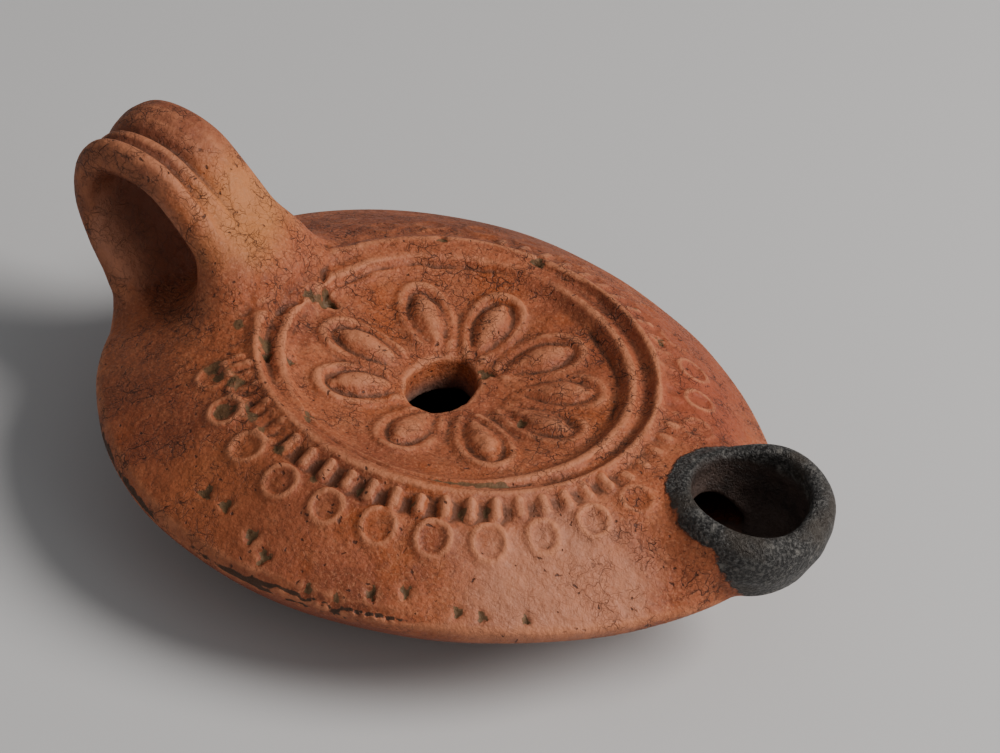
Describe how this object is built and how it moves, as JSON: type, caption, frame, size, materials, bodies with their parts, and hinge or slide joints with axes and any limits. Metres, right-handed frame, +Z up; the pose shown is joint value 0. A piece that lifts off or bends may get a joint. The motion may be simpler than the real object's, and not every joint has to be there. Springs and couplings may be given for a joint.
{
  "type": "roman oil lamp",
  "caption": "Hollow round terracotta oil lamp with nozzle, rosette discus, ringed shoulder and pierced ring handle.",
  "frame": {"origin": "middle of the flat underside", "axes": "+Z up, +X towards the nozzle, handle on -X"},
  "size_m": [0.1019, 0.078, 0.0365],
  "materials": {
    "fired_clay": "unglazed, mould pressed, worn"
  },
  "bodies": {
    "root": {"lamp": "fired_clay"}
  },
  "joints": []
}
